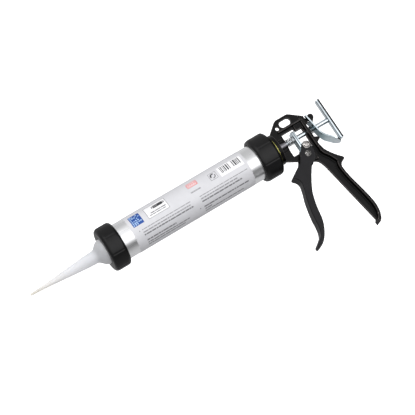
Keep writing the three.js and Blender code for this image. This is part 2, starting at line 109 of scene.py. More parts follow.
def new_piece(name, bm, material, body, replaces, angle=35):
    """A smooth-shaded piece that rides on a body. Edges over `angle` degrees stay crisp."""
    bmesh.ops.recalc_face_normals(bm, faces=bm.faces)
    obj = mesh_object(name, bm)
    obj.data.materials.append(material)
    finish_piece(obj, body, replaces, angle)
    return obj


def finish_piece(obj, body, replaces, angle):
    """Shades a piece, puts it on its body and hides the CAD parts that it replaces."""
    obj.data.shade_smooth()
    if angle:
        obj.data.set_sharp_from_angle(angle=math.radians(angle))
    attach(obj, body)
    if replaces:
        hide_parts(*replaces)


def apply_modifiers(obj):
    """Puts the result of an object's modifiers into its mesh."""
    depsgraph = bpy.context.evaluated_depsgraph_get()
    mesh = bpy.data.meshes.new_from_object(obj.evaluated_get(depsgraph))
    obj.modifiers.clear()
    old = obj.data
    obj.data = mesh
    bpy.data.meshes.remove(old)


def subtract(obj, bm):
    """Cuts the closed shape of a bmesh out of an object."""
    cutter = mesh_object("cutter", bm)
    boolean = obj.modifiers.new("cut", "BOOLEAN")
    boolean.object = cutter
    boolean.solver = "EXACT"
    apply_modifiers(obj)
    bpy.data.objects.remove(cutter)


def ring_of(bm, points):
    """New vertices at the points, in order."""
    return [bm.verts.new(p) for p in points]


def bridge(bm, a, b, closed=True):
    """Quads between two loops, or two open rows, of the same length."""
    n = len(a)
    for i in range(n if closed else n - 1):
        j = (i + 1) % n
        bm.faces.new((a[i], a[j], b[j], b[i]))


def bridge_all(bm, loops):
    """Quads between loops, from each to the next and from the last to the first."""
    for a, b in zip(loops, loops[1:] + loops[:1]):
        bridge(bm, a, b)
    bmesh.ops.remove_doubles(bm, verts=bm.verts, dist=1e-7)


def loft(bm, loops):
    """Quads from each loop to the next, with both ends closed."""
    for a, b in zip(loops, loops[1:]):
        bridge(bm, a, b)
    bm.faces.new(loops[0])
    bm.faces.new(list(reversed(loops[-1])))


def round_profile(profile, radius, steps=4):
    """A closed profile with rounded corners. A point is (x, r) or (x, r, its own corner radius)."""
    out = []
    count = len(profile)
    for i, point in enumerate(profile):
        here = Vector(point[:2])
        before = Vector(profile[i - 1][:2]) - here
        after = Vector(profile[(i + 1) % count][:2]) - here
        limit = point[2] if len(point) > 2 else radius
        reach = min(limit, before.length * 0.45, after.length * 0.45)
        if reach < 0.02 or before.angle(after) > math.radians(172):
            out.append(here)
            continue
        start = here + before.normalized() * reach
        end = here + after.normalized() * reach
        for k in range(steps + 1):
            t = k / steps
            out.append(start.lerp(here, t).lerp(here.lerp(end, t), t))
    return out


def axis_circle(x, radius, segments, start=0):
    """Points of a circle round the barrel axis, from the angle `start`."""
    angles = [start + 2 * math.pi * k / segments for k in range(segments)]
    return [place(x, radius * math.cos(a), radius * math.sin(a)) for a in angles]


def cross_circle(centre, y, radius, segments=64):
    """Points of a circle round a cross pin's axis, which passes through centre (x, z)."""
    angles = [2 * math.pi * k / segments for k in range(segments)]
    return [place(centre[0] + radius * math.cos(a), y, centre[1] + radius * math.sin(a)) for a in angles]


def turned(profile, segments=96, radius_at=None):
    """A closed profile of (x, r) millimetres turned round the barrel axis.

    radius_at(x, r, angle) may change the radius on the way round.
    """
    bm = bmesh.new()
    rings = []
    for point in profile:
        ring = []
        for k in range(segments):
            angle = 2 * math.pi * k / segments
            r = radius_at(point[0], point[1], angle) if radius_at else point[1]
            ring.append(place(point[0], r * math.cos(angle), r * math.sin(angle)))
        rings.append(ring_of(bm, ring))
    bridge_all(bm, rings)
    return bm


def turned_across(profile, centre):
    """A closed profile of (y, r) millimetres turned round a cross pin's axis."""
    bm = bmesh.new()
    bridge_all(bm, [ring_of(bm, cross_circle(centre, y, r)) for y, r in profile])
    return bm


def thread_ridge(bm, x_start, x_end, radius):
    """A right-hand ridge of round-topped section, run in and out smoothly at both ends."""
    turns = (x_end - x_start) / THREAD_PITCH
    count = int(turns * 64)
    half_section = [(-0.5, -0.15), (-0.34, 0.5), (-0.16, 0.95)]
    section = half_section + [(0, 1)] + [(-along, up) for along, up in reversed(half_section)]
    loops = []
    for i in range(count + 1):
        t = i / count
        fade = min(1, t * turns * 4, (1 - t) * turns * 4)
        x = x_start + (x_end - x_start) * t
        angle = 2 * math.pi * x / THREAD_PITCH
        points = []
        for along, up in section:
            r = radius + THREAD_HEIGHT * (up * fade if up > 0 else up)
            points.append(place(x + along * THREAD_WIDTH, r * math.cos(angle), r * math.sin(angle)))
        loops.append(ring_of(bm, points))
    loft(bm, loops)


def wire_coil(name, node, x0, x1, radius, wire, turns, material):
    """A compression spring as a swept round wire, with closed end turns."""
    bm = bmesh.new()
    steps = int(turns * 40)
    sides = 14
    centre_path = []
    for i in range(steps + 1):
        t = i / steps
        rise = t - CLOSED_END_SHARE * math.sin(2 * math.pi * t)
        angle = 2 * math.pi * turns * t
        x = x0 + wire / 2 + (x1 - x0 - wire) * rise
        centre_path.append(Vector((x, radius * math.cos(angle), radius * math.sin(angle))))
    loops = []
    for i, here in enumerate(centre_path):
        ahead = centre_path[min(i + 1, steps)] - centre_path[max(i - 1, 0)]
        out = Vector((0, here.y, here.z)).normalized()
        tangent = ahead.normalized()
        side = tangent.cross(out).normalized()
        points = []
        for k in range(sides):
            a = 2 * math.pi * k / sides
            p = here + (out * math.cos(a) + side * math.sin(a)) * wire / 2
            points.append(place(*p))
        loops.append(ring_of(bm, points))
    loft(bm, loops)
    return new_piece(name, bm, material, "frame", [node], angle=60)


# ---------------------------------------------------------------- materials
class Tree:
    """Short calls for building a node tree."""

    def __init__(self, tree):
        self.tree = tree

    def add(self, kind, **settings):
        node = self.tree.nodes.new(kind)
        for key, value in settings.items():
            setattr(node, key, value)
        return node

    def link(self, source, target):
        self.tree.links.new(source, target)

    def feed(self, source, socket):
        """Gives a socket a number, a colour or a link."""
        if isinstance(source, tuple):
            socket.default_value = (*source, 1)
        elif isinstance(source, (int, float)):
            socket.default_value = source
        else:
            self.link(source, socket)

    def axis(self, vector, name):
        """One coordinate of a vector."""
        split = self.add("ShaderNodeSeparateXYZ")
        self.link(vector, split.inputs[0])
        return split.outputs[name]

    def arithmetic(self, operation, a, b):
        node = self.add("ShaderNodeMath", operation=operation)
        self.feed(a, node.inputs[0])
        self.feed(b, node.inputs[1])
        return node.outputs[0]

    def spread(self, source, start, end, low, high, curve="LINEAR"):
        """Takes the range from start to end to the range from low to high."""
        node = self.add("ShaderNodeMapRange", interpolation_type=curve)
        self.link(source, node.inputs["Value"])
        for key, value in (("From Min", start), ("From Max", end), ("To Min", low), ("To Max", high)):
            node.inputs[key].default_value = value
        return node.outputs["Result"]

    def ramp(self, source, stops):
        """A colour ramp through (position, colour or grey level) stops."""
        node = self.add("ShaderNodeValToRGB")
        elements = node.color_ramp.elements
        while len(elements) < len(stops):
            elements.new(0.5)
        for element, (position, colour) in zip(elements, stops):
            element.position = position
            element.color = (*colour, 1) if isinstance(colour, tuple) else (colour, colour, colour, 1)
        self.link(source, node.inputs["Fac"])
        return node.outputs["Color"]

    def blend(self, factor, a, b, blend_type="MIX"):
        node = self.add("ShaderNodeMix", data_type="RGBA", blend_type=blend_type)
        self.feed(factor, node.inputs["Factor"])
        self.feed(a, node.inputs[6])
        self.feed(b, node.inputs[7])
        return node.outputs[2]


class Nodes(Tree):
    """A new material's node tree."""

    def __init__(self, name):
        self.material = bpy.data.materials.new(name)
        self.material.use_nodes = True
        super().__init__(self.material.node_tree)
        self.shader = self.tree.nodes["Principled BSDF"]
        self.coordinates = self.add("ShaderNodeTexCoord").outputs["Object"]

    def set(self, **values):
        """Sets or links the shader's own sockets. An underscore stands for a space."""
        for key, value in values.items():
            self.feed(value, self.shader.inputs[key.replace("_", " ")])

    def noise(self, scale, detail=3, roughness=0.5, stretch=None):
        node = self.add("ShaderNodeTexNoise")
        node.inputs["Scale"].default_value = scale
        node.inputs["Detail"].default_value = detail
        node.inputs["Roughness"].default_value = roughness
        source = self.coordinates
        if stretch:
            mapping = self.add("ShaderNodeMapping")
            mapping.inputs["Scale"].default_value = stretch
            self.link(source, mapping.inputs["Vector"])
            source = mapping.outputs["Vector"]
        self.link(source, node.inputs["Vector"])
        return node.outputs["Fac"]

    def geometry(self, name):
        return self.add("ShaderNodeNewGeometry").outputs[name]

    def facing_front(self, elsewhere, on_front):
        """A value that changes from `elsewhere` to `on_front` on faces turned towards the nozzle."""
        return self.spread(self.axis(self.geometry("Normal"), "X"), -0.25, -0.65, elsewhere, on_front)

    def height(self, low, high):
        """0 at the drawing height `low` and 1 at `high`, in millimetres over the barrel axis."""
        return self.spread(self.axis(self.coordinates, "Z"), AXIS_Z + low * MM, AXIS_Z + high * MM, 0, 1)

    def colour(self, source, stops):
        self.set(Base_Color=self.ramp(source, stops))

    def rough(self, source, low, high):
        """Roughness from low to high, following a noise."""
        self.set(Roughness=self.spread(source, 0.3, 0.7, low, high))

    def bump(self, source, strength, distance_mm):
        node = self.add("ShaderNodeBump")
        node.inputs["Strength"].default_value = strength
        node.inputs["Distance"].default_value = distance_mm * MM
        self.link(source, node.inputs["Height"])
        self.set(Normal=node.outputs["Normal"])


# pale grey of the painted highlight on the castings' convex edges
EDGE_HIGHLIGHT_COAT = (0.16, 0.145, 0.14)
ZINC_DARK = (0.50, 0.565, 0.60)
ZINC_LIGHT = (0.66, 0.715, 0.745)


def cast_black(name, dark, light, rough, specular, edge_highlight):
    """Black powder coat on a die casting: fine orange peel, and a painted highlight that lightens its convex
    edges.
    """
    n = Nodes(name)
    patches = n.noise(70, 3)
    coat = n.ramp(patches, [(0.3, dark), (0.7, light)])
    # painted highlight: convex edges are lightened towards a pale grey
    edge = n.spread(n.geometry("Pointiness"), 0.512, 0.548, 0, edge_highlight)
    n.rough(patches, rough[0], rough[1])
    n.bump(n.noise(1500, 4, 0.6), 0.25, 0.05)
    # painted shade: faces turned to the front reflect less, so they look darker
    front_shaded_specular = n.facing_front(specular, specular * 0.25)
    n.set(Base_Color=n.blend(edge, coat, EDGE_HIGHLIGHT_COAT), Specular_IOR_Level=front_shaded_specular)
    return n.material


def ring_plastic():
    """Black moulded polyamide with a fine spark-eroded grain."""
    n = Nodes("ring_plastic")
    grain = n.noise(2600, 5, 0.65)
    flow = n.noise(60, 2, 0.5, (0.3, 1, 1))
    n.colour(flow, [(0.3, (0.0055, 0.0054, 0.0056)), (0.7, (0.0090, 0.0088, 0.0092))])
    n.rough(flow, 0.32, 0.42)
    n.bump(grain, 0.3, 0.05)
    n.set(Specular_IOR_Level=0.22)
    return n.material


def metal(name, dark, light, rough, patch_scale, streak):
    """A bare or plated metal: patchy tint, drawn streaks and a trace of bump."""
    n = Nodes(name)
    patches = n.noise(patch_scale, 4, 0.55)
    streaks = n.noise(900, 3, 0.6, streak)
    n.colour(patches, [(0.3, dark), (0.7, light)])
    n.rough(streaks, rough[0], rough[1])
    n.bump(streaks, 0.2, 0.012)
    n.set(Metallic=1.0)
    return n.material


def zinc_with_painted_shade(name, low, high, stops):
    """Bright zinc whose front face is darkened by painted shade and a painted reflection of the dark
    casting; `stops` set the darkening by height.
    """
    n = Nodes(name)
    patches = n.noise(160, 4, 0.55)
    streaks = n.noise(900, 3, 0.6, (0.25, 1, 1))
    bright = n.ramp(patches, [(0.3, ZINC_DARK), (0.7, ZINC_LIGHT)])
    # painted shade and painted reflection, laid only on faces turned to the front
    painted_front_shade = n.ramp(n.height(low, high), stops)
    shaded_front = n.blend(1, bright, painted_front_shade, "MULTIPLY")
    n.rough(streaks, 0.13, 0.22)
    n.bump(streaks, 0.2, 0.012)
    n.set(Base_Color=n.blend(n.facing_front(0, 1), bright, shaded_front), Metallic=1.0)
    return n.material


def yellow_zinc_with_painted_shade():
    """Yellow passivated zinc, darkened by painted shade towards the top and the bottom."""
    n = Nodes("yellow_zinc")
    patches = n.noise(300, 4, 0.55)
    bright = n.ramp(patches, [(0.3, (0.62, 0.60, 0.13)), (0.7, (0.86, 0.83, 0.28))])
    # painted shade: the washer is darkened above and below its middle band
    painted_shade_by_height = n.ramp(n.height(-18, 18), [(0.1, 0.25), (0.28, 1.0), (0.62, 1.0), (0.8, 0.06)])
    n.rough(patches, 0.3, 0.42)
    n.set(Base_Color=n.blend(1, bright, painted_shade_by_height, "MULTIPLY"), Metallic=1.0)
    return n.material


def label_film():
    """Printed white polyester film, faintly mottled under a satin varnish."""
    n = Nodes("label_film")
    mottle = n.noise(110, 4, 0.55)
    fibres = n.noise(2200, 2, 0.5)
    n.colour(mottle, [(0.3, (0.645, 0.645, 0.668)), (0.7, (0.685, 0.685, 0.708))])
    n.rough(fibres, 0.34, 0.44)
    n.bump(fibres, 0.12, 0.02)
    return n.material


def ink(name, dark, light):
    """Screen-printed ink, slightly uneven in cover and a little glossier than the film."""
    n = Nodes(name)
    cover = n.noise(900, 3, 0.6)
    n.colour(cover, [(0.35, dark), (0.65, light)])
    n.rough(cover, 0.28, 0.4)
    return n.material


def nozzle_plastic():
    """Milky polyethylene: light passes a little way in, with faint flow clouding."""
    n = Nodes("nozzle_plastic")
    cloud = n.noise(45, 4, 0.55, (0.4, 1, 1))
    lo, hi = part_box("nozzle")
    length = n.spread(n.axis(n.coordinates, "X"), lo.x, hi.x, 0, 1)
    # warm where the wall is thin at the tip; darker on the dome, a painted shade of the dark inside seen
    # through it
    body = n.ramp(length, [
        (0.0, (0.80, 0.76, 0.66)), (0.2, (0.82, 0.80, 0.765)), (0.5, (0.80, 0.80, 0.815)),
        (0.80, (0.77, 0.775, 0.80)), (0.87, (0.54, 0.545, 0.555)), (1.0, (0.50, 0.505, 0.515)),
    ])
    clouded = n.blend(1, body, n.ramp(cloud, [(0.3, 0.94), (0.7, 1.0)]), "MULTIPLY")
    n.rough(cloud, 0.36, 0.46)
    n.bump(n.noise(1300, 2), 0.1, 0.03)
    # painted light: a faint glow in the nozzle's own colour evens out its shading
    n.set(Base_Color=clouded, Emission_Color=clouded, Emission_Strength=0.2)
    n.set(Subsurface_Weight=0.7, Subsurface_Scale=0.012)
    n.shader.inputs["Subsurface Radius"].default_value = (1.0, 0.95, 0.85)
    return n.material


def piston_plastic():
    """Cream moulded piston disc."""
    n = Nodes("piston_plastic")
    cloud = n.noise(120, 3)
    n.colour(cloud, [(0.3, (0.62, 0.60, 0.54)), (0.7, (0.69, 0.67, 0.61))])
    n.rough(cloud, 0.45, 0.58)
    n.bump(n.noise(1400, 3), 0.15, 0.04)
    return n.material


CAST_FRAME = cast_black(
    "cast_black_frame", (0.0034, 0.0031, 0.0033), (0.0056, 0.0052, 0.0054), (0.20, 0.28), 0.13, 0.8)
CAST_TRIGGER = cast_black(
    "cast_black_trigger", (0.0105, 0.0102, 0.0114), (0.015, 0.0145, 0.016), (0.30, 0.40), 0.14, 0.15)
RING = ring_plastic()
ZINC = metal("bright_zinc", ZINC_DARK, ZINC_LIGHT, (0.13, 0.22), 160, (0.25, 1, 1))
SPRING = metal("spring_steel", (0.58, 0.59, 0.60), (0.72, 0.73, 0.74), (0.22, 0.34), 300, (1, 1, 1))
RIVET = metal("rivet_steel", (0.24, 0.225, 0.22), (0.56, 0.54, 0.52), (0.14, 0.24), 520, (1, 0.3, 1))
# painted light: dull grey for the skin of the black casting's guide boss
BOSS = metal("boss_skin", (0.17, 0.165, 0.18), (0.25, 0.245, 0.26), (0.30, 0.42), 260, (0.3, 1, 1))
# near-black steel of the brake spring: partly its own dark finish, partly painted shade of the gap between
# the rear wall and the lever
DARK_SPRING_AND_SHADE = metal("dark_spring_and_shade", (0.05, 0.065, 0.07), (0.10, 0.12, 0.13), (0.20, 0.30), 300, (1, 1, 1))
PIVOT_STEEL = metal("pivot_steel", (0.06, 0.058, 0.056), (0.36, 0.35, 0.34), (0.08, 0.15), 420, (1, 0.3, 1))
YELLOW = yellow_zinc_with_painted_shade()
# painted shade: the grip plates' front faces darken in a band below the rod
GRIP = zinc_with_painted_shade("grip_zinc", -20, 12, [
    (0.0, (0.50, 0.58, 0.62)), (0.16, (0.20, 0.29, 0.32)), (0.30, (0.045, 0.09, 0.10)),
    (0.45, (0.06, 0.11, 0.12)), (0.56, (0.8, 0.85, 0.88)), (1.0, (0.9, 0.93, 0.95)),
])
# painted reflection of the dark rear wall: the brake lever's front face darkens from below the rod upwards
BRAKE = zinc_with_painted_shade("brake_zinc", -32, 22, [
    (0.0, (1.0, 1.0, 1.0)), (0.16, (0.86, 0.93, 0.94)), (0.30, (0.36, 0.48, 0.50)),
    (0.40, (0.12, 0.19, 0.21)), (0.85, (0.09, 0.14, 0.16)), (1.0, (0.25, 0.32, 0.34)),
])
ALUMINIUM = metal(
    "barrel_aluminium", (0.78, 0.785, 0.79), (0.84, 0.845, 0.85), (0.26, 0.34), 60, (0.03, 1, 1))
FILM = label_film()
NOZZLE = nozzle_plastic()
PISTON = piston_plastic()
INK_BLACK = ink("ink_black", (0.03, 0.03, 0.033), (0.055, 0.055, 0.06))
INK_GREY = ink("ink_grey", (0.16, 0.16, 0.17), (0.235, 0.235, 0.245))
INK_PALE = ink("ink_pale", (0.26, 0.26, 0.275), (0.34, 0.34, 0.355))
INK_BLUE = ink("ink_blue", (0.010, 0.055, 0.27), (0.022, 0.10, 0.40))
INK_SKY = ink("ink_sky", (0.30, 0.50, 0.80), (0.50, 0.68, 0.90))
INK_RED = ink("ink_red", (0.70, 0.012, 0.010), (0.80, 0.03, 0.025))
INK_WHITE = ink("ink_white", (0.86, 0.86, 0.87), (0.92, 0.92, 0.93))


# ---------------------------------------------------------------- barrel
LABEL_LO, LABEL_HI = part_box("barrel_label")
LABEL_R = (LABEL_HI.z - LABEL_LO.z) / 2 / MM
LABEL_X0, LABEL_X1 = drawn_span("barrel_label")
PRINT_R = LABEL_R + 0.012
SECOND_COAT = 0.006  # how far ink printed over ink stands out
THIRD_COAT = 0.012
TUBE_X0, TUBE_X1 = drawn_span("barrel_tube")
TUBE_MM = TUBE_R / MM
WALL = 1.0
THREAD_FROM = 114  # the drawing's x, at either end, where a thread runs out on the tube
THREAD_RELIEF = 1.5  # plain length between a thread and the tube's end


def barrel():
    """Aluminium tube with a thread at each end, and the printed film round it."""
    inner = TUBE_MM - WALL
    profile = [(TUBE_X0, inner), (TUBE_X0, TUBE_MM), (TUBE_X1, TUBE_MM), (TUBE_X1, inner)]
    bm = turned(round_profile(profile, 0.3, 3), 192)
    thread_ridge(bm, TUBE_X0 + THREAD_RELIEF, -THREAD_FROM, TUBE_MM)
    thread_ridge(bm, THREAD_FROM, TUBE_X1 - THREAD_RELIEF, TUBE_MM)
    new_piece("threaded_tube", bm, ALUMINIUM, "barrel", ["barrel_tube"])

    edge = LABEL_R - 0.2
    profile = [(LABEL_X0, edge), (LABEL_X0, LABEL_R), (LABEL_X1, LABEL_R), (LABEL_X1, edge)]
    bm = turned(round_profile(profile, 0.05, 2), 192)
    new_piece("printed_film", bm, FILM, "barrel", ["barrel_label"])


class Print:
    """Ink patches on the film. x runs along the barrel and s round it, from the near side up."""

    def __init__(self, name, material, lift=0.0):
        self.name = name
        self.material = material
        self.bm = bmesh.new()
        self.radius = PRINT_R + lift

    def point(self, x, s):
        angle = s / LABEL_R
        return place(x, -self.radius * math.cos(angle), self.radius * math.sin(angle))

    def grid(self, outline_rows):
        """Faces between rows of (x, s) points that have the same length."""
        rows = [[self.bm.verts.new(self.point(*p)) for p in row] for row in outline_rows]
        for a, b in zip(rows, rows[1:]):
            bridge(self.bm, a, b, closed=False)

    def block(self, x0, x1, s0, s1):
        """A filled rectangle, cut into strips so that it follows the round film."""
        rows = max(1, math.ceil((s1 - s0) / 0.8))
        heights = [s0 + (s1 - s0) * k / rows for k in range(rows + 1)]
        self.grid([[(x0, s), (x1, s)] for s in heights])

    def border(self, x0, x1, s0, s1, width):
        """The outline of a rectangle."""
        self.block(x0, x1, s0, s0 + width)
        self.block(x0, x1, s1 - width, s1)
        self.block(x0, x0 + width, s0 + width, s1 - width)
        self.block(x1 - width, x1, s0 + width, s1 - width)

    def arc(self, x, s, inner, outer, start, end):
        """Part of a round band between two angles in degrees."""
        steps = 28
        rows = []
        for k in range(steps + 1):
            a = math.radians(start + (end - start) * k / steps)
            rows.append([(x + r * math.cos(a), s + r * math.sin(a)) for r in (inner, outer)])
        self.grid(rows)

    def words(self, draw, x0, x1, s, height):
        """A line of short dashes of uneven length: it stands for text and holds no letters."""
        x = x0
        while x < x1 - 1:
            length = min(draw.uniform(2.2, 8.5), x1 - x)
            self.block(x, x + length, s - height / 2, s + height / 2)
            x += length + 0.75

    def done(self):
        """Makes the piece, with every patch facing outwards."""
        bmesh.ops.remove_doubles(self.bm, verts=self.bm.verts, dist=1e-8)
        obj = new_piece(self.name, self.bm, self.material, "barrel", ())
        for polygon in obj.data.polygons:
            radial = Vector((0, polygon.center.y, polygon.center.z - AXIS_Z))
            if polygon.normal.dot(radial) < 0:
                polygon.flip()


def label_print():
    """Plain generic print: tiles, panels, bars and dashes, none of them lettering."""
    draw = random.Random(7)
    white = Print("print_white", INK_WHITE)
    black = Print("print_black", INK_BLACK, SECOND_COAT)
    grey = Print("print_grey", INK_GREY, SECOND_COAT)
    pale = Print("print_pale", INK_PALE, SECOND_COAT)
    blue = Print("print_blue", INK_BLUE)
    red = Print("print_red", INK_RED, THIRD_COAT)
    sky = Print("print_sky", INK_SKY, SECOND_COAT)
    marks = Print("print_marks", INK_WHITE, SECOND_COAT)

    # blue square with a plain pattern of small pale-blue tiles
    blue.block(-88, -71.6, 1.6, 20.4)
    for column in range(5):
        for row in range(6):
            if draw.random() < 0.62:
                x, s = -86.9 + column * 2.95, 2.7 + row * 2.85
                sky.block(x, x + draw.uniform(1.4, 2.6), s, s + draw.uniform(1.3, 2.4))

    # white panel: a rounded cartridge outline and a line of dashes
    white.block(-64, -31.4, 1.4, 20.4)
    black.border(-64, -31.4, 1.4, 20.4, 0.42)
    black.block(-50.8, -36.0, 12.2, 17.2)
    black.arc(-50.8, 14.7, 0, 2.5, 90, 270)
    black.arc(-36.0, 14.7, 0, 2.5, -90, 90)
    marks.block(-49.4, -43.6, 13.6, 15.9)
    grey.words(draw, -58, -34, 7.8, 1.5)
    grey.words(draw, -60.5, -36, 4.9, 1.2)

    # red frame round plain red tiles, and a dashed line below
    marks.block(3.2, 18.6, 11, 19)
    red.border(3.2, 18.6, 11, 19, 1.1)
    for k in range(4):
        red.block(5.8 + k * 3.0, 7.4 + k * 3.0, 13.4, 16.8)
    pale.words(draw, 3.2, 18.2, 3.2, 1.9)

    # boxed open ring
    grey.border(35.8, 47.4, 3.2, 14.8, 0.5)
    black.arc(41.6, 8.9, 2.3, 4.3, 60, 205)
    black.arc(41.6, 8.9, 2.6, 3.7, 255, 385)

    # striped panel: plain bars of uneven width
    white.block(51, 87.6, 0.8, 17)
    for start, end in ((54.6, 68.6), (73.4, 84.6)):
        x = start
        while x < end:
            width = draw.uniform(0.6, 2.2)
            black.block(x, min(x + width, end), 5.2, 15.8)
            x += width + draw.uniform(0.8, 1.6)

    # two columns of dashed lines
    for ink_layer, x0, x1, s, height in (
        (pale, -80, -4, -6.2, 1.1),
        (pale, -80, -6, -10.1, 1.6),
        (grey, -80, -3, -14.0, 1.9),
        (grey, -79.5, -34, -22.5, 2.0),
        (grey, -79.5, -14, -27.0, 1.7),
        (grey, -79.5, -20, -31.0, 1.7),
        (pale, 10.6, 87, -6.9, 1.1),
        (pale, 10.6, 70.4, -10.7, 1.6),
        (grey, 10.6, 74.4, -14.7, 1.9),
        (grey, 10.6, 82, -23.0, 2.0),
        (grey, 11, 21.6, -27.0, 1.7),
        (grey, 11, 72, -31.4, 1.7),
    ):
        ink_layer.words(draw, x0, x1, s, height)
    grey.block(3.9, 5.2, -23.4, -21.8)
    grey.block(-84.2, -83.2, -7.0, -5.6)

    for layer in (white, black, grey, pale, blue, red, sky, marks):
        layer.done()


# ---------------------------------------------------------------- screwed rings
LOBES = 8
GROOVE_AT = math.radians(14)  # one groove's height above the near side
LOBE_DEPTH = 0.6
GROOVE_DEPTH = 0.8
GROOVE_WIDTH = 0.7
FADE_LENGTH = 1.4  # along the ring, where the lobes run out
RING_R = 32.75
GRIP_R = 28.2  # nothing nearer the axis than this is shaped
TUBE_BORE_R = 27.15


def lobe(grip_from, grip_to):
    """Shapes a ring's outside: shallow finger flats between narrow grooves, faded out at both rims."""
    pitch = 2 * math.pi / LOBES

    def radius_at(x, r, angle):
        if r < GRIP_R:
            return r
        # the near side is at -Y, so its angle is pi
        turn = (math.pi - GROOVE_AT - angle) / pitch % 1.0
        fade = min(1, max(0, (x - grip_from) / FADE_LENGTH), max(0, (grip_to - x) / FADE_LENGTH))
        fade = fade * fade * (3 - 2 * fade)
        flat = LOBE_DEPTH * (0.5 - 0.5 * math.cos(2 * math.pi * turn)) ** 0.7
        away = min(turn, 1 - turn) * pitch * r
        groove = GROOVE_DEPTH * math.exp(-((away / GROOVE_WIDTH) ** 2))
        return r - fade * (flat + groove)

    return radius_at


def dense(profile, gap=0.8):
    """The same closed profile with long edges split, so that a shape function has points to move."""
    out = []
    for a, b in zip(profile, profile[1:] + profile[:1]):
        parts = max(1, math.ceil((b - a).length / gap))
        out += [a.lerp(b, k / parts) for k in range(parts)]
    return out


def front_ring():
    """Screw ring over the nozzle's flange, open enough for its dome."""
    x0, x1 = drawn_span("front_ring")
    lip = x0 + 2.2
    opening = 18.9
    profile = [
        (x0, opening, 0.3), (x0, 28.0, 1.0), (x0 + 1.3, 31.2, 2.2), (x0 + 4.2, RING_R, 2.6),
        (x1 - 4.6, RING_R, 2.6), (x1 - 1.0, 30.6, 2.0), (x1, 28.0, 0.7), (x1, TUBE_BORE_R, 0.2),
        (lip, TUBE_BORE_R, 0.2), (lip, opening, 0.2),
    ]
    bm = turned(dense(round_profile(profile, 1, 5)), 320, lobe(x0 - 2, x1 - 3.6))
    new_piece("front_screw_ring", bm, RING, "front_ring", ["front_ring"], angle=50)


def rear_ring():
    """Screw ring between the tube and the frame's yoke, with a seat for the tube's end."""
    x0, x1 = drawn_span("rear_ring")
    seat = 136.1  # inner face behind the tube's end
    lip = x0 + 2
    lip_bore = 26.75
    opening = 23.15
    profile = [
        (lip, TUBE_BORE_R, 0.2), (lip, lip_bore, 0.1), (x0, lip_bore, 0.2), (x0, 28.4, 0.7),
        (x0 + 1.4, 31.0, 2.0), (x0 + 4.4, RING_R, 2.6), (x1 - 5.2, RING_R, 1.2), (x1 - 2.6, 30.0, 1.0),
        (x1, 24.9, 0.8), (x1, opening, 0.2), (seat, opening, 0.2), (seat, TUBE_BORE_R, 0.2),
    ]
    bm = turned(dense(round_profile(profile, 1, 5)), 320, lobe(x0 + 1.6, x1 - 3.4))
    new_piece("rear_screw_ring", bm, RING, "rear_ring", ["rear_ring"], angle=50)


def neck_washer():
    """Thin washer between the rear ring and the yoke, a little clear of the yoke."""
    x0, x1 = drawn_span("neck_washer")
    back = x1 - 0.3
    profile = [(x0, 22.95), (x0, 23.75), (back, 23.75), (back, 22.95)]
    bm = turned(round_profile(profile, 0.25, 4), 160)
    new_piece("yellow_washer", bm, YELLOW, "frame", ["neck_washer"])


# ---------------------------------------------------------------- nozzle
def nozzle():
    """Long cone on a dome, with a flange behind that the front ring holds."""
    tip, rear = drawn_span("nozzle")
    flange = -131.5
    profile = [
        (tip, 1.0, 0.1), (tip, 1.68, 0.25), (-240, 1.95, 0), (-220, 3.35, 0), (-180, 7.1, 8),
        (-160, 8.75, 5), (-149.0, 9.25, 2.5), (-146.6, 10.2, 1.6), (-140.6, 16.1, 2.6), (-136.6, 17.9, 1.6),
        (-134.8, 18.35, 0.5), (flange, 18.35, 0.4), (flange, 25.5, 0.3), (rear, 25.5, 0.3),
        (rear, 17.2, 0.3), (-135, 16.8, 0.5), (-140.3, 14.6, 1.5), (-147.6, 7.8, 1.5),
        (-160, 7.5, 2), (-180, 5.85, 4), (-220, 2.3, 0),
    ]
    bm = turned(dense(round_profile(profile, 1, 6), 3.0), 128)
    new_piece("cone_nozzle", bm, NOZZLE, "nozzle", ["nozzle"], angle=60)


# ---------------------------------------------------------------- castings
def softened(name, node, material, body, smoothing):
    """A casting's skin: the CAD solid remeshed finely and smoothed, so that its corners are filleted."""
    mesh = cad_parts[node].data.copy()
    mesh.materials.clear()
    obj = linked(name, mesh)
    remesh = obj.modifiers.new("skin", "REMESH")
    remesh.mode = "VOXEL"
    remesh.voxel_size = 0.5 * MM
    smooth = obj.modifiers.new("fillets", "SMOOTH")
    smooth.factor = 0.5
    smooth.iterations = smoothing
    apply_modifiers(obj)
    obj.data.materials.append(material)
    finish_piece(obj, body, [node], angle=None)


def guide_boss():
    """Dull grey skin on the casting's guide boss, through which the rod slides: painted light on the black
    casting.
    """
    front = 149.6
    back = 159.7
    bore = 3.95
    outer = 4.92
    profile = [
        (front, 4.3, 0.1), (front, outer, 0.3), (back, outer, 0.5),
        (back, bore, 0.1), (back - 0.5, bore, 0.1),
    ]
    bm = turned(round_profile(profile, 0.3, 4), 64)
    new_piece("guide_boss_skin", bm, BOSS, "frame", ())


# ---------------------------------------------------------------- pins and washers
PIVOT = drawn_centre("pivot_pin")
DRIVE = drawn_centre("drive_pin")
PIVOT_HEAD_R = 3.4
PIVOT_WASHER_R = 4.4
DRIVE_HEAD_R = 3.8
DRIVE_WASHER_R = 5.3
CHEEK = 11.0  # half the width over the trigger's cheeks
SHANK_R = 3.0
WASHER_BORE_R = 3.15


